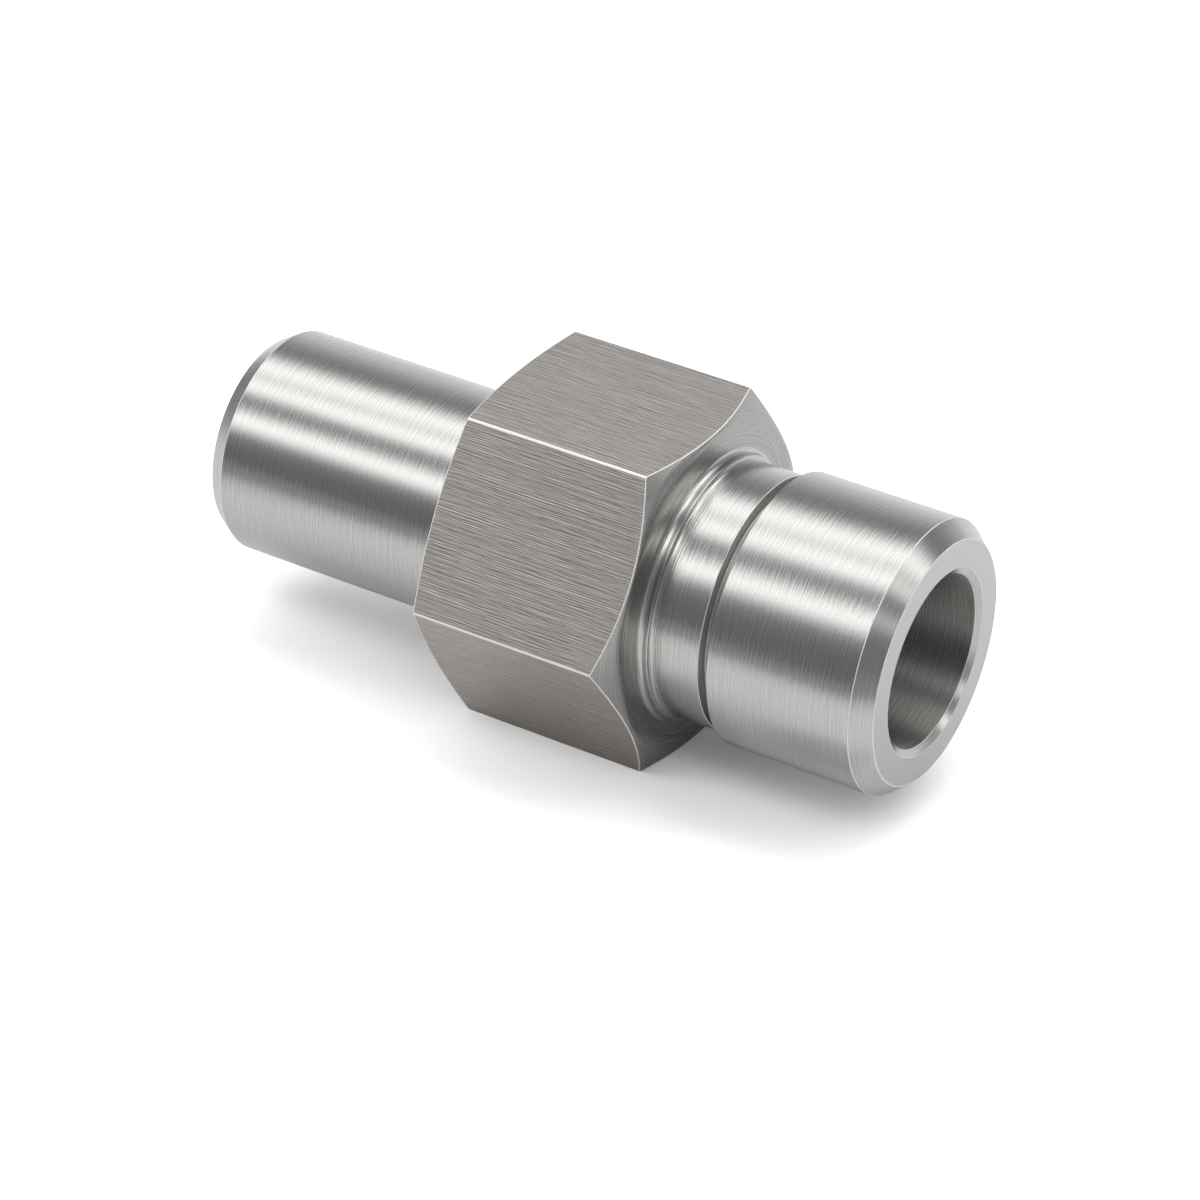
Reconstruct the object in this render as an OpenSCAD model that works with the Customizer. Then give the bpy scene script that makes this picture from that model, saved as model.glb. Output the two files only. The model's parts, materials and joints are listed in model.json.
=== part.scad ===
// Machined hex fitting: a tube stub, a hexagon and a grooved collar, turned from one
// length of hexagonal bar and bored through.
// The long axis is X. X = 0 is the hexagon's shoulder face, on the bore axis, and +X
// points to the collar's end. One pair of flats is level, so -Z is the flat it lies on.

/* [Hexagon] */
// Width across the flats
hex_af = 22; // [20:0.5:27]
// Length between the two end faces
hex_len = 14.5; // [8:0.5:25]
// Radius on the six long edges
hex_edge_r = 0.25; // [0.1:0.05:0.8]
// How far inside the flats each end face stops, where its cone starts
face_inset = 0.2; // [0.1:0.05:0.8]
// Slope of the cone at the shoulder, from the end face
shoulder_cone = 30; // [10:1:40]
// Slope of the cone at the stub's side, from the end face
back_cone = 15; // [10:1:40]

/* [Tube stub] */
// Outside diameter of the stub
stub_d = 15; // [14:0.1:17]
// Length of the stub, from the hexagon to its tip
stub_len = 19; // [8:0.5:40]
// Length of the lead-in chamfer along the axis
stub_chamfer_len = 1.2; // [0.4:0.1:3]
// Depth of the lead-in chamfer, on the radius
stub_chamfer_depth = 0.75; // [0.2:0.05:1.1]

/* [Neck] */
// Diameter of the neck beside the groove
neck_d = 16.9; // [16.4:0.1:17.6]
// Length of the neck, from the shoulder to the groove
neck_len = 4.1; // [2.5:0.1:10]
// Height of the root ring above the neck, on the radius
root_step = 0.3; // [0.1:0.05:0.6]
// Length of the root ring
root_len = 0.65; // [0.4:0.05:1]
// Radius of the fillet between the shoulder and the root ring
shoulder_fillet = 0.35; // [0.1:0.05:0.4]
// Radius of the fillet between the root ring and the neck
neck_fillet = 0.25; // [0.1:0.05:0.6]

/* [Groove] */
// Width of the groove
groove_w = 0.9; // [0.5:0.1:2]
// Depth of the groove below the neck, on the radius
groove_depth = 0.8; // [0.3:0.1:1.2]

/* [Collar] */
// Outside diameter of the collar
collar_d = 18; // [17:0.1:19.5]
// Length of the collar, from the groove to its end face
collar_len = 11.1; // [6:0.1:20]
// Length of the end chamfer along the axis
collar_chamfer_len = 1.2; // [0.4:0.1:3]
// Depth of the end chamfer, on the radius
collar_chamfer_depth = 1; // [0.3:0.05:1.4]

/* [Bore] */
// Diameter of the through bore
bore_d = 11.4; // [8:0.1:12]
// Length of the chamfer at each mouth, along the axis
mouth_len = 0.3; // [0.1:0.05:0.8]
// Depth of the chamfer at each mouth, on the radius
mouth_depth = 0.45; // [0.1:0.05:0.5]

/* [Edges] */
// Chamfer that breaks the sharp edges of the groove
edge_break = 0.1; // [0.05:0.01:0.2]

/* [Hidden] */
$fn = 96;
hex_r = hex_af / 2;
corner_r = hex_r / cos(30);
face_r = hex_r - face_inset;
// The cones run out past the corners, so that they cut every corner whole
cone_r = corner_r + 1;
stub_r = stub_d / 2;
neck_r = neck_d / 2;
root_r = neck_r + root_step;
groove_r = neck_r - groove_depth;
collar_r = collar_d / 2;
bore_r = bore_d / 2;
x_back = -hex_len;
x_tip = x_back - stub_len;
x_groove = neck_len;
x_collar = x_groove + groove_w;
x_end = x_collar + collar_len;
// How far the bar and the bore run past the ends that cut them
past = 2;

// Turns a profile drawn as [radius, station] about the long axis
module turned() {
    rotate([0, 90, 0])
        rotate_extrude()
            children();
}

// Section of the bar: six flats joined by arcs, with two flats level
module bar_section() {
    arc_centre = (hex_r - hex_edge_r) / cos(30);
    corners = [for (k = [0:5]) 60 * k];
    polygon([for (a = corners) for (side = [-30, 30])
        arc_centre * [cos(a + 30), sin(a + 30)]
            + hex_edge_r * [cos(a + 30 + side), sin(a + 30 + side)]]);
    for (a = corners)
        rotate(a + 30)
            translate([arc_centre, 0])
                circle(r = hex_edge_r);
}

// The hexagonal bar that the fitting is turned from
module bar() {
    translate([x_tip - past, 0, 0])
        rotate([0, 90, 0])
            linear_extrude(height = x_end - x_tip + 2 * past)
                bar_section();
}

// Stub, up to the hexagon's back face
module stub_outline() {
    polygon([
        [0, x_tip],
        [stub_r - stub_chamfer_depth, x_tip],
        [stub_r, x_tip + stub_chamfer_len],
        [stub_r, x_back + 1],
        [0, x_back + 1]
    ]);
}

// Hexagon's zone, wider than the bar, with a cone at each end
module hexagon_outline() {
    polygon([
        [0, x_back],
        [face_r, x_back],
        [cone_r, x_back + (cone_r - face_r) * tan(back_cone)],
        [cone_r, -(cone_r - face_r) * tan(shoulder_cone)],
        [face_r, 0],
        [0, 0]
    ]);
}

// Concave fillet that fills the corner between a face at station x and a radius r
module fillet(r, x, size) {
    difference() {
        translate([r - size, x - size])
            square(2 * size);
        translate([r + size, x + size])
            circle(r = size);
    }
}

// Root ring, neck, groove and collar, from inside the hexagon to the end face
module collar_outline() {
    polygon([
        [0, -1],
        [root_r, -1],
        [root_r, root_len],
        [neck_r, root_len],
        [neck_r, x_groove - edge_break],
        [neck_r - edge_break, x_groove],
        [groove_r, x_groove],
        [groove_r, x_collar],
        [collar_r - edge_break, x_collar],
        [collar_r, x_collar + edge_break],
        [collar_r, x_end - collar_chamfer_len],
        [collar_r - collar_chamfer_depth, x_end],
        [0, x_end]
    ]);
    fillet(root_r, 0, shoulder_fillet);
    fillet(neck_r, root_len, neck_fillet);
}

// Through bore with a chamfer at each mouth
module bore_outline() {
    polygon([
        [0, x_tip - past],
        [bore_r + mouth_depth, x_tip - past],
        [bore_r + mouth_depth, x_tip],
        [bore_r, x_tip + mouth_len],
        [bore_r, x_end - mouth_len],
        [bore_r + mouth_depth, x_end],
        [bore_r + mouth_depth, x_end + past],
        [0, x_end + past]
    ]);
}

module hex_fitting() {
    color([0.72, 0.71, 0.7])
        difference() {
            intersection() {
                bar();
                turned() {
                    stub_outline();
                    hexagon_outline();
                    collar_outline();
                }
            }
            turned()
                bore_outline();
        }
}

hex_fitting();
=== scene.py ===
"""Machined hex fitting: the finished look of one turned steel piece, with its studio and camera.

Lengths are in metres. X is the long axis, X = 0 is the hexagon's shoulder face, and +X points
to the collar's end. The fitting is one closed surface, worked out on a grid of columns round
the axis and stations along its outline, from the stub's tip to the collar and back by the bore.
"""

import json
import logging
import math
from dataclasses import dataclass
from enum import IntEnum
from typing import Any

import bpy
import numpy as np
from mathutils import Matrix, Vector


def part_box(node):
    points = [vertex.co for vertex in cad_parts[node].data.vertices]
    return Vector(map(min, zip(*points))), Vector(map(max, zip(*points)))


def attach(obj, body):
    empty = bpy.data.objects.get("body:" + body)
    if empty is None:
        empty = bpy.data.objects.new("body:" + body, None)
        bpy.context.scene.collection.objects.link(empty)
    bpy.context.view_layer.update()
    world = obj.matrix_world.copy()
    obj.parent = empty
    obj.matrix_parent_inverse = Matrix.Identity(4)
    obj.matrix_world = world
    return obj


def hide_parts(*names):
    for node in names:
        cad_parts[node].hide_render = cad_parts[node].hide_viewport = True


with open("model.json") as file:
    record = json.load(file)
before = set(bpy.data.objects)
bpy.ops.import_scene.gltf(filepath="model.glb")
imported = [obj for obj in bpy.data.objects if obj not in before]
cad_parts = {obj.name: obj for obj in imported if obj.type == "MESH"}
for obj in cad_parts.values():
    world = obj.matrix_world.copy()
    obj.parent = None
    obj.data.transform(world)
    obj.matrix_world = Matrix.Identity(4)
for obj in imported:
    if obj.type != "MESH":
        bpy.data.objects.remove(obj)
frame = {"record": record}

MM = 0.001
SIDES = 6
SIXTH = 2 * math.pi / SIDES
WHITE = (1.0, 1.0, 1.0, 1.0)
LOG = logging.getLogger("hex_fitting")


class Region(IntEnum):
    """The kinds of surface on the fitting. Each value is the place of its material in the list."""

    TURNED = 0
    FLAT = 1
    FACED = 2
    BORED = 3
    GROOVE = 4
    # Edge rounds with a painted highlight: a near-white steel colour that reads bright at every angle.
    EDGE = 5
    SHOULDER = 6


@dataclass
class FittingSizes:
    """Sizes of the fitting. What the frame states is read from it, and the rest is named here."""

    flat_r: float
    stub_r: float
    collar_r: float
    bore_r: float
    x_tip: float
    x_stub_chamfer: float
    x_back: float
    x_collar_chamfer: float
    x_end: float
    hex_edge_round: float = 0.25 * MM
    face_inset: float = 0.2 * MM
    shoulder_cone: float = math.radians(30)
    back_cone: float = math.radians(15)
    stub_chamfer_depth: float = 0.75 * MM
    collar_chamfer_depth: float = 1.0 * MM
    neck_r: float = 8.45 * MM
    root_step: float = 0.3 * MM
    root_len: float = 0.65 * MM
    shoulder_fillet: float = 0.35 * MM
    neck_fillet: float = 0.25 * MM
    x_groove: float = 4.1 * MM
    groove_width: float = 0.9 * MM
    groove_depth: float = 0.8 * MM
    mouth_len: float = 0.3 * MM
    mouth_depth: float = 0.45 * MM
    edge_round: float = 0.09 * MM
    fine_round: float = 0.04 * MM
    tool_round: float = 0.12 * MM
    face_bend: float = 0.5
    tool_line_x: float = 0.98 * MM
    tool_line_width: float = 0.09 * MM
    tool_line_depth: float = 0.035 * MM
    feed_lines: int = 3
    feed_pitch: float = 0.2 * MM
    feed_width: float = 0.1 * MM
    feed_depth: float = 0.004 * MM

    @classmethod
    def from_frame(cls, record: dict[str, Any], low: Vector, high: Vector) -> "FittingSizes":
        """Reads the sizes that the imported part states.

        Args:
            record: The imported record, with its mounts.
            low: Lowest corner of the part's box.
            high: Highest corner of the part's box.

        Returns:
            The sizes of the fitting.
        """
        mounts = {mount["name"]: mount for mount in record["mounts"]}
        radius = {name: mounts[name]["dims"]["r_mm"] * MM for name in ("stub", "collar", "through_bore")}
        middle = {name: mounts[name]["pos_m"][0] for name in ("stub", "collar")}
        half = {name: mounts[name]["dims"]["length_mm"] * MM / 2 for name in ("stub", "collar")}
        return cls(
            flat_r=-mounts["resting_flat"]["pos_m"][2],
            stub_r=radius["stub"],
            collar_r=radius["collar"],
            bore_r=radius["through_bore"],
            x_tip=low.x,
            x_stub_chamfer=middle["stub"] - half["stub"],
            x_back=middle["stub"] + half["stub"],
            x_collar_chamfer=middle["collar"] + half["collar"],
            x_end=high.x,
        )

    @property
    def face_r(self) -> float:
        """Radius at which each end face of the hexagon stops and its cone starts."""
        return self.flat_r - self.face_inset

    @property
    def root_r(self) -> float:
        """Radius of the ring at the neck's root."""
        return self.neck_r + self.root_step

    @property
    def groove_r(self) -> float:
        """Radius of the groove's floor."""
        return self.neck_r - self.groove_depth

    @property
    def x_collar(self) -> float:
        """Station at which the collar starts, past the groove."""
        return self.x_groove + self.groove_width


@dataclass
class BarSection:
    """Section of the hexagonal bar: six flats joined by small arcs, with two flats level."""

    flat_r: float
    edge_round: float
    flat_cells: int = 26
    arc_cells: int = 8
    crest_share: float = 0.75

    @property
    def arc_centre(self) -> float:
        """Distance of each corner arc's centre from the axis."""
        return (self.flat_r - self.edge_round) / math.cos(SIXTH / 2)

    @property
    def arc_reach(self) -> float:
        """Angle at the axis between a corner and the end of its arc."""
        side = self.edge_round * math.sin(SIXTH / 2)
        return math.atan2(side, self.arc_centre + self.edge_round * math.cos(SIXTH / 2))

    def angles(self) -> np.ndarray:
        """Angles of the columns, from +Y towards +Z, starting where the arc at +Y begins.

        Each sixth of a turn has even steps along the corner's arc, seen from the arc's centre,
        and then even steps of angle across the flat.

        Returns:
            The angles, rising, one for each column.
        """
        swing = np.linspace(-SIXTH / 2, SIXTH / 2, self.arc_cells, endpoint=False)
        across, outward = self.edge_round * np.sin(swing), self.edge_round * np.cos(swing)
        arc = np.arctan2(across, self.arc_centre + outward)
        flat = np.linspace(self.arc_reach, SIXTH - self.arc_reach, self.flat_cells, endpoint=False)
        one = np.concatenate([arc, flat])
        return (one[None, :] + np.arange(SIDES)[:, None] * SIXTH).ravel()

    def on_crest(self, columns: int) -> np.ndarray:
        """Whether each column of faces lies on the crest, the middle part of a corner's arc."""
        place = np.arange(columns) % (self.arc_cells + self.flat_cells)
        from_middle = np.abs(place + 0.5 - self.arc_cells / 2)
        return from_middle < self.crest_share * self.arc_cells / 2

    def radius(self, angles: np.ndarray) -> np.ndarray:
        """Distance from the axis to the bar's surface.

        On a flat it is the flat's distance over the cosine of the angle from the flat's middle.
        On a corner it is the far crossing of a ray from the axis with the arc's circle.

        Args:
            angles: Angles round the axis.

        Returns:
            The distances, one for each angle.
        """
        from_corner = np.abs((angles + SIXTH / 2) % SIXTH - SIXTH / 2)
        flat = self.flat_r / np.cos(SIXTH / 2 - from_corner)
        side = self.arc_centre * np.sin(from_corner)
        inside = np.maximum(self.edge_round**2 - side**2, 0)
        arc = self.arc_centre * np.cos(from_corner) + np.sqrt(inside)
        return np.where(from_corner < self.arc_reach, arc, flat)


@dataclass
class Corner:
    """A corner of the outline before it is rounded, with the stretch that starts there."""

    x: np.ndarray
    r: np.ndarray
    rounding: float | np.ndarray
    region: Region
    steps: int = 3
    longest: float = 1.2 * MM
    # Whether the corner's rounding takes the painted highlight finish.
    bright: bool = True


@dataclass
class Outline:
    """The rounded outline, as arrays with a row for each station and a column for each angle."""

    x: np.ndarray
    r: np.ndarray
    along_x: np.ndarray
    along_r: np.ndarray
    regions: list[Region]
    flat_rows: tuple[int, int]

    @property
    def lengths(self) -> np.ndarray:
        """Distance along the outline, with the closing station added as a last row.

        Each step counts its change along X plus its change of radius, so the bends between the
        faces and the cones, which differ from angle to angle, don't shift it. The flats end at
        different stations, so on them it follows X, and past them it counts back from the last
        row. Marks on the turned surfaces are then circles all the way round.
        """
        along = np.abs(np.diff(self.x, axis=0, append=self.x[:1]))
        step = along + np.abs(np.diff(self.r, axis=0, append=self.r[:1]))
        total = np.concatenate([np.zeros((1, self.x.shape[1])), np.cumsum(step, axis=0)])
        first, last = self.flat_rows
        total[last + 1:] -= total[-1] - total[-1].mean()
        total[first:last + 1] = self.x[first:last + 1] - self.x[first].mean() + total[first].mean()
        return total


@dataclass
class HexFitting:
    """The fitting: its sizes, its closed surface and the finishes of its regions."""

    sizes: FittingSizes
    section: BarSection

    def tool_line(self, x: float, width: float, depth: float) -> list[tuple[float, float]]:
        """Three corners of a shallow V round the neck, as stations and radii."""
        neck = self.sizes.neck_r
        return [(x - width / 2, neck), (x, neck - depth), (x + width / 2, neck)]

    def corners(self, angles: np.ndarray) -> list[Corner]:
        """Corners of the outline, once round the turned section.

        Each end face of the hexagon bends softly into its cone. The bend reaches its share of the
        cone's length from the sharp edge, at the corners and at the middles of the flats, and
        between these a cosine wave leads from one to the other without a crease.

        Args:
            angles: Angles round the axis, one for each column.

        Returns:
            The corners, from the bore's mouth at the tip, along the outside and back inside.
        """
        s = self.sizes
        bar_r = self.section.radius(angles)
        same = np.ones_like(bar_r)
        wave = (1 + np.cos(SIDES * angles)) / 2
        cone_r = s.face_inset + (s.flat_r / math.cos(SIXTH / 2) - s.flat_r) * wave
        back_x = s.x_back + (bar_r - s.face_r) * math.tan(s.back_cone)
        front_x = -(bar_r - s.face_r) * math.tan(s.shoulder_cone)
        lines = self.tool_line(s.tool_line_x, s.tool_line_width, s.tool_line_depth)
        for index in range(s.feed_lines):
            x = s.tool_line_x + s.tool_line_width + (index + 0.5) * s.feed_pitch
            lines += self.tool_line(x, s.feed_width, s.feed_depth * (1 - index / s.feed_lines))

        def at(x: float, r: float, rounding: float, region: Region, steps: int = 3) -> Corner:
            """An edge round in the painted highlight finish, the same at every angle."""
            return Corner(x * same, r * same, rounding, region, steps)

        def soft(x: float, r: float, rounding: float, region: Region, steps: int = 3) -> Corner:
            """A bend in the same finish, the same at every angle."""
            return Corner(x * same, r * same, rounding, region, steps, bright=False)

        def face_edge(x: float, cone: float) -> Corner:
            """The soft bend from an end face into its cone, whose angle is the turn it makes."""
            rounding = s.face_bend * cone_r / math.cos(cone) / math.tan(cone / 2)
            return Corner(x * same, s.face_r * same, rounding, Region.SHOULDER, steps=6, bright=False)

        return [
            at(s.x_tip, s.bore_r + s.mouth_depth, s.fine_round, Region.FACED),
            at(s.x_tip, s.stub_r - s.stub_chamfer_depth, s.edge_round, Region.TURNED),
            at(s.x_stub_chamfer, s.stub_r, s.edge_round, Region.TURNED),
            soft(s.x_back, s.stub_r, s.tool_round, Region.SHOULDER, steps=4),
            face_edge(s.x_back, s.back_cone),
            Corner(back_x, bar_r, s.edge_round, Region.FLAT),
            Corner(front_x, bar_r, s.edge_round, Region.SHOULDER, longest=0.5 * MM),
            face_edge(0, s.shoulder_cone),
            soft(0, s.root_r, s.shoulder_fillet, Region.TURNED, steps=8),
            soft(s.root_len, s.root_r, s.edge_round, Region.TURNED),
            soft(s.root_len, s.neck_r, s.neck_fillet, Region.TURNED, steps=7),
            *[soft(x, r, s.fine_round / 4, Region.TURNED, steps=1) for x, r in lines],
            at(s.x_groove, s.neck_r, s.fine_round, Region.GROOVE),
            soft(s.x_groove, s.groove_r, s.tool_round, Region.GROOVE, steps=4),
            soft(s.x_collar, s.groove_r, s.tool_round, Region.GROOVE, steps=4),
            soft(s.x_collar, s.collar_r, s.fine_round, Region.TURNED),
            at(s.x_collar_chamfer, s.collar_r, s.edge_round, Region.TURNED),
            at(s.x_end, s.collar_r - s.collar_chamfer_depth, s.edge_round, Region.FACED),
            at(s.x_end, s.bore_r + s.mouth_depth, s.fine_round, Region.TURNED),
            at(s.x_end - s.mouth_len, s.bore_r, s.fine_round, Region.BORED),
            soft(s.x_tip + s.mouth_len, s.bore_r, s.fine_round, Region.TURNED),
        ]

    def outline(self, angles: np.ndarray) -> Outline:
        """Rounds the corners and cuts the straight stretches between them into short cells.

        The outline is a path of complex numbers, x + 1j * r. A corner where it turns by t becomes
        an arc that starts rounding * tan(t / 2) before the corner. The arc's points are its centre
        plus the start's offset from it, turned by even parts of t, and the direction turns alike.

        Args:
            angles: Angles round the axis, one for each column.

        Returns:
            The outline at those angles.
        """
        corners = self.corners(angles)
        points = [corner.x + 1j * corner.r for corner in corners]
        count = len(corners)
        arcs, headings = [], []
        for index, corner in enumerate(corners):
            before = points[index] - points[index - 1]
            after = points[(index + 1) % count] - points[index]
            before, after = before / np.abs(before), after / np.abs(after)
            turn = np.angle(after / before)
            start = points[index] - before * corner.rounding * np.tan(np.abs(turn) / 2)
            to_centre = before * 1j * np.sign(turn) * corner.rounding
            part = np.exp(1j * turn * np.linspace(0, 1, corner.steps + 1)[:, None])
            arcs.append(start + to_centre - to_centre * part)
            headings.append(before * part)
        rows, directions, regions, flat_rows = [], [], [], (0, 0)
        for index, corner in enumerate(corners):
            gap = arcs[(index + 1) % count][0] - arcs[index][-1]
            cells = max(1, math.ceil(np.abs(gap).max() / corner.longest))
            shares = np.arange(1, cells)[:, None] / cells
            rows += [arcs[index], arcs[index][-1] + gap * shares]
            directions += [headings[index], np.repeat(headings[index][-1:], cells - 1, axis=0)]
            # Rounds marked bright take the painted highlight finish.
            regions += [Region.EDGE if corner.bright else corner.region] * corner.steps
            regions += [corner.region] * cells
            if corner.region is Region.FLAT:
                flat_rows = (len(regions) - cells, len(regions))
        path, heading = np.concatenate(rows), np.concatenate(directions)
        return Outline(path.real, path.imag, heading.real, heading.imag, regions, flat_rows)

    def surface(self) -> tuple[np.ndarray, np.ndarray, np.ndarray, list[Region]]:
        """Points, normals and texture places of the whole closed surface.

        A point is (x, r cos a, r sin a) at the angle a. Its normal is the cross product of the
        change per unit of angle, found between two angles close by, and the outline's direction.

        Returns:
            Points and normals as stations x columns x 3, texture places as stations + 1 x
            columns + 1 x 2, and the region of each ring of faces.
        """
        angles = self.section.angles()
        near = 1e-6
        line = self.outline(angles)
        low, high = self.outline(angles - near), self.outline(angles + near)
        x_change = (high.x - low.x) / (2 * near)
        r_change = (high.r - low.r) / (2 * near)
        cos, sin = np.cos(angles), np.sin(angles)
        points = np.stack([line.x, line.r * cos, line.r * sin], axis=-1)
        axial = -line.along_r * line.r
        radial = line.along_x * line.r
        around = line.along_r * x_change - line.along_x * r_change
        normals = np.stack([axial, radial * cos - around * sin, radial * sin + around * cos], axis=-1)
        normals /= np.linalg.norm(normals, axis=-1, keepdims=True)
        bar_r = self.section.radius(angles)
        bar = np.stack([bar_r * cos, bar_r * sin])
        sides = np.hypot(*np.diff(bar, axis=1, append=bar[:, :1]))
        round_bar = np.concatenate([[0], np.cumsum(sides)])
        lengths = line.lengths
        lengths = np.concatenate([lengths, lengths[:, :1]], axis=1)
        places = np.stack([np.broadcast_to(round_bar, lengths.shape), lengths], axis=-1)
        return points, normals, places, line.regions

    def build(self) -> bpy.types.Object:
        """Makes the mesh from the grid, closed both ways, and its object.

        Returns:
            The fitting's object, at the origin.
        """
        points, normals, places, regions = self.surface()
        rings, columns = points.shape[:2]
        ring, column = np.meshgrid(np.arange(rings), np.arange(columns), indexing="ij")
        corner_ring = np.stack([ring, ring, ring + 1, ring + 1], axis=-1)
        corner_column = np.stack([column, column + 1, column + 1, column], axis=-1)
        faces = (corner_ring % rings) * columns + corner_column % columns
        mesh = bpy.data.meshes.new("turned_fitting")
        mesh.from_pydata(points.reshape(-1, 3).tolist(), [], faces.reshape(-1, 4).tolist())
        layer = mesh.uv_layers.new(name="turning")
        layer.data.foreach_set("uv", places[corner_ring, corner_column].astype(np.float32).ravel())
        slots = np.repeat(np.array(regions, dtype=np.int32)[:, None], columns, axis=1)
        # The crests of the hexagon's corners take the painted highlight finish.
        slots[(slots == Region.FLAT) & self.section.on_crest(columns)] = Region.EDGE
        mesh.polygons.foreach_set("material_index", slots.ravel())
        mesh.polygons.foreach_set("use_smooth", np.ones(len(mesh.polygons), dtype=bool))
        mesh.normals_split_custom_set_from_vertices(normals.reshape(-1, 3).tolist())
        mesh.update()
        piece = bpy.data.objects.new("turned_fitting", mesh)
        bpy.context.scene.collection.objects.link(piece)
        return piece

    def dress(self, piece: bpy.types.Object, finishes: dict[Region, "SteelFinish"]) -> None:
        """Gives each region its material, in the order of the regions.

        Args:
            piece: The fitting's object.
            finishes: The finish of each region.
        """
        for region in Region:
            piece.data.materials.append(finishes[region].material())


class NodeTree:
    """A small helper that adds and links shader nodes in one line each."""

    def __init__(self, tree: bpy.types.NodeTree) -> None:
        """Empties the tree and keeps it."""
        self.tree = tree
        tree.nodes.clear()

    def add(self, kind: str, inputs: dict[Any, Any] | None = None, **settings: Any) -> bpy.types.Node:
        """Adds a node.

        Args:
            kind: The node's type, without its ShaderNode prefix.
            inputs: Values or sockets for its inputs, by name or number.
            settings: The node's own settings.

        Returns:
            The node.
        """
        node = self.tree.nodes.new("ShaderNode" + kind)
        for name, value in settings.items():
            setattr(node, name, value)
        for key, value in (inputs or {}).items():
            if isinstance(value, bpy.types.NodeSocket):
                self.tree.links.new(value, node.inputs[key])
            else:
                node.inputs[key].default_value = value
        return node

    def math(self, operation: str, *values: Any) -> bpy.types.NodeSocket:
        """Adds a Math node and returns its result."""
        return self.add("Math", dict(enumerate(values)), operation=operation).outputs[0]

    def vector(self, operation: str, *values: Any) -> bpy.types.NodeSocket:
        """Adds a Vector Math node and returns its vector result."""
        return self.add("VectorMath", dict(enumerate(values)), operation=operation).outputs[0]

    def fit(self, value: Any, low: float, high: float, to_low: float, to_high: float,
            smooth: bool = False) -> bpy.types.NodeSocket:
        """Maps a value from one range to another, held at the ends.

        Args:
            value: The socket to map.
            low: Start of its range.
            high: End of its range.
            to_low: Result at the start.
            to_high: Result at the end.
            smooth: Whether the result eases in and out.

        Returns:
            The result's socket.
        """
        kind = "SMOOTHSTEP" if smooth else "LINEAR"
        inputs = {"Value": value, "From Min": low, "From Max": high, "To Min": to_low, "To Max": to_high}
        return self.add("MapRange", inputs, interpolation_type=kind).outputs["Result"]


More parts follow.
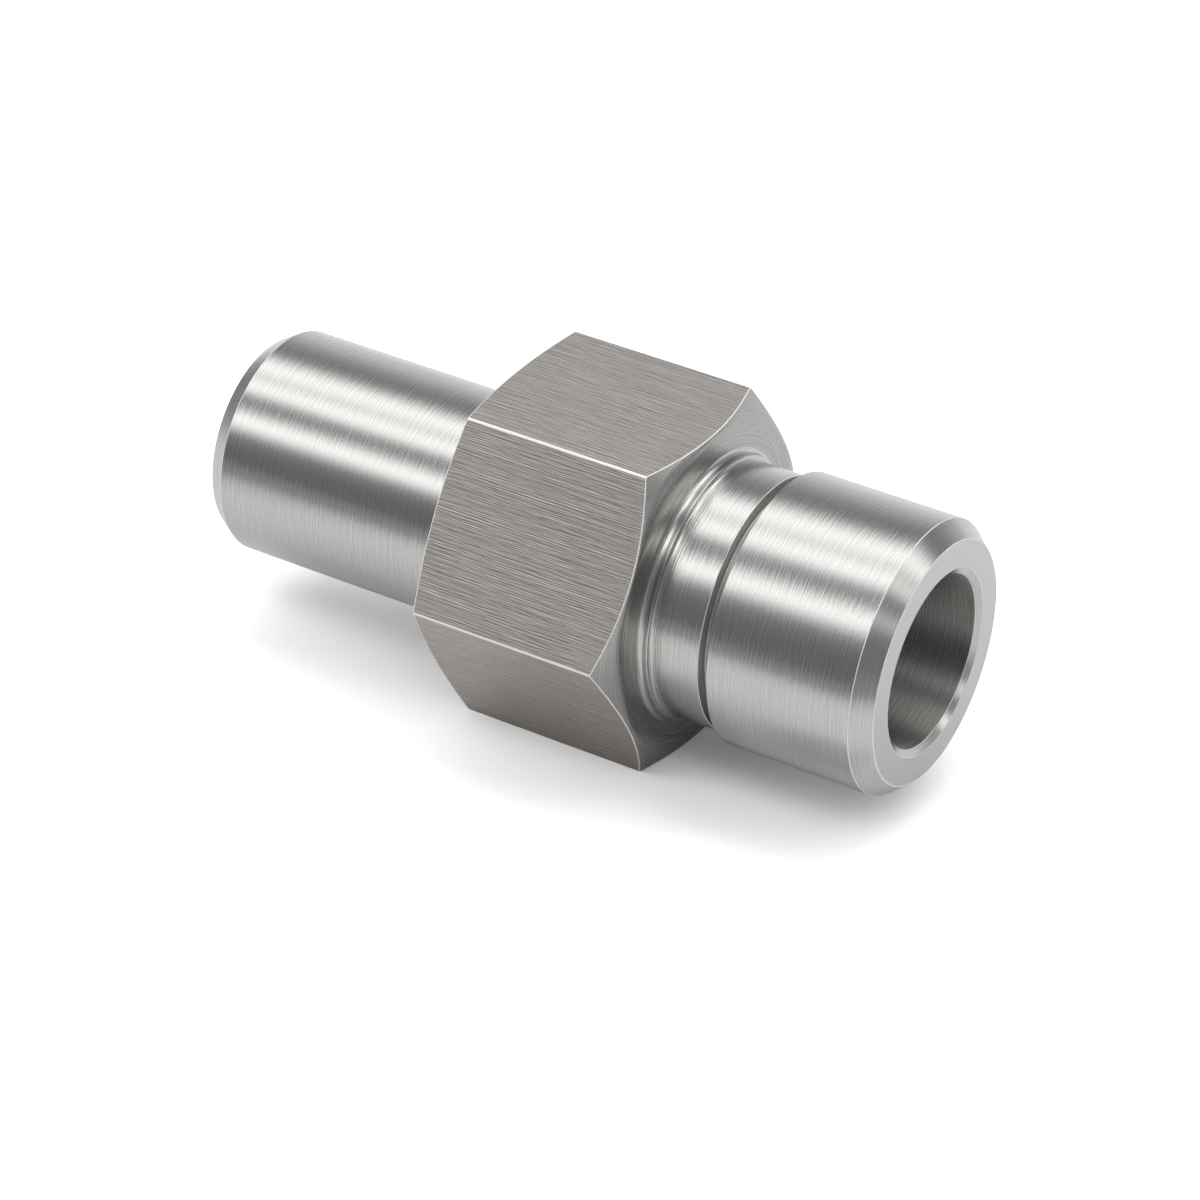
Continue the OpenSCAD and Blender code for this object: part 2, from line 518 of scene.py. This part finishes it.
@dataclass(frozen=True)
class SteelFinish:
    """Bare steel with fine tool marks, which blur reflections across themselves.

    The stretch is how far that blur is drawn out. The contrast is the change of the noise that
    makes a full bright mark, and the swings are how far such a mark moves the tone and the gloss.
    """

    name: str
    color: tuple[float, float, float] = (0.542, 0.535, 0.523)
    roughness: float = 0.19
    stretch: float = 0.0
    marks_along_bar: bool = False
    mark_width: float = 0.07 * MM
    mark_length: float = 0.9 * MM
    streak_width: float = 0.18 * MM
    streak_length: float = 3.5 * MM
    streak_share: float = 0.3
    contrast: float = 0.28
    dark_share: float = 0.5
    tone_swing: float = 0.3
    gloss_swing: float = 0.04
    relief: float = 0.001 * MM
    waver: float = 0.02

    def marks(self, nodes: NodeTree, width: float, length: float) -> bpy.types.NodeSocket:
        """Streak noise of a given width and length.

        Marks along the bar read the distance round the bar, finely, and X, coarsely. Turned marks
        read the distance along the outline, finely, and Y and Z, coarsely, so they run in circles.
        The value is the noise less the same noise half a streak's width away, which leaves no wide
        spots.
        Dark marks go only their share as far as bright ones.

        Args:
            nodes: The material's nodes.
            width: Width of a streak.
            length: Length of a streak.

        Returns:
            A value from less than 0, for the darkest marks, to 1.
        """
        place = nodes.add("SeparateXYZ", {0: nodes.add("UVMap", uv_map="turning").outputs["UV"]})
        spot = nodes.add("SeparateXYZ", {0: nodes.add("TexCoord").outputs["Object"]})
        if self.marks_along_bar:
            fine, coarse = place.outputs["X"], (spot.outputs["X"], 0.0)
        else:
            fine, coarse = place.outputs["Y"], (spot.outputs["Y"], spot.outputs["Z"])
        spread = [nodes.math("MULTIPLY", fine, 1 / width)]
        spread += [nodes.math("MULTIPLY", value, 1 / length) for value in coarse]
        field = nodes.add("CombineXYZ", dict(enumerate(spread))).outputs[0]
        beside = nodes.vector("ADD", field, (0.5, 0.0, 0.0))
        plain = {"Scale": 1.0, "Detail": 1.0, "Roughness": 0.5}
        noises = [nodes.add("TexNoise", {"Vector": at, **plain}) for at in (field, beside)]
        change = nodes.math("SUBTRACT", *[noise.outputs["Fac"] for noise in noises])
        darkest = -self.dark_share
        return nodes.fit(change, darkest * self.contrast, self.contrast, darkest, 1)

    def material(self) -> bpy.types.Material:
        """Builds the finish.

        The marks change the tone and the roughness, stand out as a fine relief and tilt the
        surface a little along the tangent, which runs round the bar. Reflections blur along the
        tangent, across marks that follow the bar. Turned marks run with it, so their finish turns
        the blur by a quarter turn.

        Returns:
            The material.
        """
        material = bpy.data.materials.new(self.name)
        material.use_nodes = True
        nodes = NodeTree(material.node_tree)
        fine = self.marks(nodes, self.mark_width, self.mark_length)
        broad = self.marks(nodes, self.streak_width, self.streak_length)
        both = nodes.add("Mix", {"Factor": self.streak_share, "A": fine, "B": broad}).outputs["Result"]
        tone = nodes.math("MULTIPLY_ADD", both, self.tone_swing, 1.0)
        color = nodes.vector("SCALE", self.color)
        nodes.tree.links.new(tone, color.node.inputs["Scale"])
        rough = nodes.math("MULTIPLY_ADD", both, self.gloss_swing, self.roughness)
        relief = nodes.add("Bump", {"Height": both, "Strength": 1.0, "Distance": self.relief})
        tangent = nodes.add("Tangent", direction_type="UV_MAP", uv_map="turning").outputs[0]
        tilt = nodes.vector("SCALE", tangent)
        nodes.tree.links.new(nodes.math("MULTIPLY", both, self.waver), tilt.node.inputs["Scale"])
        normal = nodes.vector("NORMALIZE", nodes.vector("ADD", relief.outputs[0], tilt))
        shader = nodes.add("BsdfPrincipled", {
            "Base Color": color,
            "Metallic": 1.0,
            "Roughness": rough,
            "Normal": normal,
            "Anisotropic": self.stretch,
            "Anisotropic Rotation": 0.0 if self.marks_along_bar else 0.25,
            "Tangent": tangent,
        })
        nodes.add("OutputMaterial", {"Surface": shader.outputs[0]})
        return material


FINISHES = {
    Region.TURNED: SteelFinish("turned_steel"),
    Region.FLAT: SteelFinish(
        "brushed_flats", color=(0.417, 0.395, 0.379), roughness=0.38, stretch=0.8,
        marks_along_bar=True, mark_width=0.07 * MM, mark_length=2 * MM,
        streak_width=0.09 * MM, streak_length=9 * MM, streak_share=0.45,
        contrast=0.24, dark_share=0.28, tone_swing=1.5, waver=0.004,
    ),
    Region.FACED: SteelFinish(
        "faced_steel", color=(0.568, 0.56, 0.547), mark_length=2 * MM, tone_swing=0.15,
    ),
    Region.BORED: SteelFinish(
        "bored_steel", color=(0.445, 0.437, 0.42), roughness=0.6, stretch=1.0,
        mark_length=1.5 * MM, streak_length=2.5 * MM, tone_swing=0.45,
    ),
    Region.SHOULDER: SteelFinish(
        "shoulder_steel", color=(0.43, 0.422, 0.412), roughness=0.28,
        mark_width=0.1 * MM, mark_length=3 * MM,
    ),
    Region.GROOVE: SteelFinish("groove_steel", roughness=0.4),
    # Painted highlight: a near-white colour on the small edge rounds, which also catch real reflections.
    Region.EDGE: SteelFinish("painted_highlight_edges", color=(0.96, 0.95, 0.94), roughness=0.7, tone_swing=0.05),
}


@dataclass(frozen=True)
class SoftLight:
    """A light with a soft edge. Angles are in degrees, and a level of 1 is white."""

    half_width: float
    softness: float
    level: float

    @property
    def edge(self) -> tuple[float, float]:
        """Angles from the light's centre at which its edge starts and ends."""
        return self.half_width - self.softness / 2, self.half_width + self.softness / 2


@dataclass(frozen=True)
class SoftBox(SoftLight):
    """A long band of light parallel to the fitting, at an angle about X from the rear horizon."""

    centre: float


@dataclass(frozen=True)
class RoundLight(SoftLight):
    """A round light far off in one direction."""

    toward: tuple[float, float, float]


@dataclass(frozen=True)
class PaintedFloorShade:
    """A painted shade: a soft dim spot on the floor by the fitting, which only the metal's reflections see,
    standing in for the fitting's contact shadow.

    Its fade is counted in its reach, which differs along X and along Y, so it is an ellipse.
    """

    centre: tuple[float, float]
    reach: tuple[float, float]
    tone: float


@dataclass
class Studio:
    """The floor, the soft light around the fitting and the camera.

    The camera's angles are in radians, and its lens and sensor in millimetres. The twist is in
    degrees for each unit of a direction's X part. A fade is given by where it starts and ends.
    """

    floor_z: float
    boxes: tuple[SoftBox, ...] = (
        SoftBox(centre=70, half_width=11, softness=24, level=1.75),
        SoftBox(centre=95, half_width=8, softness=11, level=1.75),
        SoftBox(centre=132, half_width=8.5, softness=16, level=1.85),
        SoftBox(centre=172, half_width=16, softness=20, level=-0.08),
    )
    lights: tuple[RoundLight, ...] = (
        RoundLight(toward=(0.85, 0.455, 0.265), half_width=6, softness=5, level=2.1),
        RoundLight(toward=(0.978, 0.087, 0.144), half_width=5, softness=5, level=1.8),
        RoundLight(toward=(-0.92, -0.28, 0.28), half_width=14, softness=8, level=2.0),
    )
    surround: float = 0.28
    backdrop: SoftBox = SoftBox(centre=0, half_width=22, softness=44, level=0.79)
    twist: float = 60.0
    twist_span: tuple[float, float] = (-0.6, -0.2)
    box_end_fade: tuple[float, float] = (0.6, 0.96)
    floor_tone: float = 0.97
    # Painted dark reflection: the tone the metal sees far in front and past the collar's end, while the
    # camera sees the floor evenly pale.
    painted_dark_reflection_tone: float = 0.36
    floor_seen_tone: float = 1.6
    floor_front: float = -250 * MM
    floor_fade: tuple[float, float] = (-90 * MM, -33 * MM)
    floor_slant: float = 0.36
    floor_end_slant: float = -0.5
    floor_end_fade: tuple[float, float] = (44 * MM, 85 * MM)
    floor_far: float = 600 * MM
    # Painted shade: dim spots on the floor that only the metal mirrors, in place of the fitting's contact
    # shadow.
    painted_shades: tuple[PaintedFloorShade, ...] = (
        PaintedFloorShade(centre=(-5.5 * MM, -5 * MM), reach=(10 * MM, 13 * MM), tone=0.62),
        PaintedFloorShade(centre=(13 * MM, -12 * MM), reach=(10 * MM, 5 * MM), tone=0.72),
    )
    painted_shade_fade: tuple[float, float] = (0.45, 1.1)
    azimuth: float = math.radians(31.03)
    elevation: float = math.radians(33.47)
    roll: float = math.radians(0.87)
    aim: tuple[float, float, float] = (-8.03 * MM, -0.02 * MM, -3.94 * MM)
    distance: float = 301.0 * MM
    lens: float = 140.9
    sensor: float = 36.0
    clip: tuple[float, float] = (0.01, 10.0)

    def light(self) -> None:
        """Sets the world: soft boxes as bands of the angle about X, round lights and a white backdrop.

        A box adds its level about its centre and eases to nothing over its softness, with half of
        the level left at its half width. The boxes stand askew, so the angle grows with the
        direction's X part over the twist's span, and all fade towards the ends of the X axis. A
        round light eases in the same way about its own direction. The camera and rays through
        glass see white all round. Glossy rays see the white where the backdrop stands, at the
        rear horizon, by the share that its level gives, and the lights elsewhere.
        """
        world = bpy.data.worlds.new("studio")
        bpy.context.scene.world = world
        world.use_nodes = True
        nodes = NodeTree(world.node_tree)
        toward = nodes.add("TexCoord").outputs["Generated"]
        ray = nodes.add("SeparateXYZ", {0: toward})
        from_top = nodes.math("DEGREES", nodes.math("ARCTAN2", ray.outputs["Y"], ray.outputs["Z"]))
        low, high = self.twist_span
        twist = self.twist * (high - low) / 2
        askew = nodes.fit(ray.outputs["X"], low, high, -twist, twist)
        angle = nodes.math("ADD", nodes.math("SUBTRACT", 90.0, from_top), askew)
        endward = nodes.math("ABSOLUTE", ray.outputs["X"])
        ends = nodes.fit(endward, *self.box_end_fade, 1, 0, smooth=True)

        def band(box: SoftBox) -> bpy.types.NodeSocket:
            """The light of one box."""
            away = nodes.math("ABSOLUTE", nodes.math("SUBTRACT", angle, box.centre))
            return nodes.math("MULTIPLY", nodes.fit(away, *box.edge, box.level, 0, smooth=True), ends)

        light: Any = self.surround
        for box in self.boxes:
            light = nodes.math("ADD", light, band(box))
        for lamp in self.lights:
            centre = tuple(Vector(lamp.toward).normalized())
            near = nodes.add("VectorMath", {0: toward, 1: centre}, operation="DOT_PRODUCT").outputs["Value"]
            away = nodes.math("DEGREES", nodes.math("ARCCOSINE", near))
            light = nodes.math("ADD", light, nodes.fit(away, *lamp.edge, lamp.level, 0, smooth=True))
        glow = nodes.add("Background", {"Color": WHITE, "Strength": light})
        white = nodes.add("Background", {"Color": WHITE, "Strength": 1.0})
        path = nodes.add("LightPath")
        seen = nodes.math("MAXIMUM", path.outputs["Is Camera Ray"], path.outputs["Is Transmission Ray"])
        mirrored = nodes.math("MULTIPLY", path.outputs["Is Glossy Ray"], band(self.backdrop))
        seen = nodes.math("MAXIMUM", seen, mirrored)
        mixed = nodes.add("MixShader", {0: seen, 1: glow.outputs[0], 2: white.outputs[0]})
        nodes.add("OutputWorld", {"Surface": mixed.outputs[0]})

    def floor(self) -> bpy.types.Object:
        """Makes the pale floor under the fitting.

        The camera and rays through glass see one tone, which is above 1 so that the open floor
        comes out white and the shadow stays. Metal sees a painted dark reflection: the floor falls
        off to a darker tone far in front, along Y plus a slant times X, and far past the collar's
        end, along X plus a slant times Y. Each painted shade spot multiplies that by its own tone
        where the distance from its centre, measured in its reaches, is small, as a contact shadow
        that only the metal's reflections show.

        Returns:
            The floor's object.
        """
        far, front = self.floor_far, self.floor_front
        corners = [(x, y, self.floor_z) for x, y in ((-far, front), (far, front), (far, far), (-far, far))]
        mesh = bpy.data.meshes.new("floor")
        mesh.from_pydata(corners, [], [(0, 1, 2, 3)])
        floor = bpy.data.objects.new("floor", mesh)
        bpy.context.scene.collection.objects.link(floor)
        material = bpy.data.materials.new("pale_floor")
        material.use_nodes = True
        nodes = NodeTree(material.node_tree)
        place = nodes.add("TexCoord").outputs["Object"]
        spot = nodes.add("SeparateXYZ", {0: place})
        tones = (self.painted_dark_reflection_tone, self.floor_tone)
        # Painted dark reflection: the floor darkens far in front and past the collar's end only in the tone
        # the metal sees.
        forward = nodes.math("MULTIPLY_ADD", spot.outputs["X"], self.floor_slant, spot.outputs["Y"])
        painted_front_dark = nodes.fit(forward, *self.floor_fade, *tones, smooth=True)
        endward = nodes.math("MULTIPLY_ADD", spot.outputs["Y"], self.floor_end_slant, spot.outputs["X"])
        painted_end_dark = nodes.fit(endward, *self.floor_end_fade, *reversed(tones), smooth=True)
        painted_reflection_tone = nodes.math("MINIMUM", painted_front_dark, painted_end_dark)
        flattened = nodes.vector("MULTIPLY", place, (1.0, 1.0, 0.0))
        # Painted shade: each spot darkens the floor's colour as the metal mirrors it, like a contact
        # shadow.
        for painted_spot in self.painted_shades:
            offset = nodes.vector("SUBTRACT", flattened, (*painted_spot.centre, 0.0))
            offset = nodes.vector("DIVIDE", offset, (*painted_spot.reach, 1.0))
            away = nodes.add("VectorMath", {0: offset}, operation="LENGTH").outputs["Value"]
            painted_dim = nodes.fit(away, *self.painted_shade_fade, painted_spot.tone, 1, smooth=True)
            painted_reflection_tone = nodes.math("MULTIPLY", painted_reflection_tone, painted_dim)
        path = nodes.add("LightPath")
        seen = nodes.math("MAXIMUM", path.outputs["Is Camera Ray"], path.outputs["Is Transmission Ray"])
        tone = nodes.add("Mix", {"Factor": seen, "A": painted_reflection_tone, "B": self.floor_seen_tone}).outputs["Result"]
        paint = nodes.add("BsdfDiffuse", {"Color": tone})
        nodes.add("OutputMaterial", {"Surface": paint.outputs[0]})
        mesh.materials.append(material)
        return floor

    def camera(self) -> None:
        """Places the camera: back from the aim point along its azimuth and elevation, and rolled."""
        cos_e, sin_e = math.cos(self.elevation), math.sin(self.elevation)
        right = Vector((math.cos(self.azimuth), math.sin(self.azimuth), 0))
        back = Vector((math.sin(self.azimuth) * cos_e, -math.cos(self.azimuth) * cos_e, sin_e))
        up = back.cross(right)
        cos_r, sin_r = math.cos(self.roll), math.sin(self.roll)
        axes = (right * cos_r + up * sin_r, up * cos_r - right * sin_r, back)
        data = bpy.data.cameras.new("camera")
        data.lens = self.lens
        data.sensor_width = self.sensor
        data.clip_start, data.clip_end = self.clip
        camera = bpy.data.objects.new("camera", data)
        place = Vector(self.aim) + back * self.distance
        camera.matrix_world = Matrix.Translation(place) @ Matrix(axes).transposed().to_4x4()
        bpy.context.scene.collection.objects.link(camera)
        bpy.context.scene.camera = camera


def main() -> None:
    """Builds the studio and the fitting, and reports each piece."""
    logging.basicConfig(level=logging.INFO, format="%(message)s")
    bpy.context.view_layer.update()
    bpy.context.scene.view_settings.view_transform = "Standard"
    low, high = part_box("hex_fitting")
    sizes = FittingSizes.from_frame(frame["record"], Vector(low), Vector(high))
    studio = Studio(floor_z=-sizes.flat_r)
    studio.light()
    studio.camera()
    studio.floor()
    LOG.info("studio: floor at z = %.1f mm, %d bands of light", -sizes.flat_r / MM, len(studio.boxes))
    fitting = HexFitting(sizes, BarSection(sizes.flat_r, sizes.hex_edge_round))
    piece = fitting.build()
    fitting.dress(piece, FINISHES)
    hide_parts("hex_fitting")
    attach(piece, "root")
    LOG.info("%s: %d faces, %d materials", piece.name, len(piece.data.polygons), len(piece.data.materials))


if __name__ == "__main__":
    main()
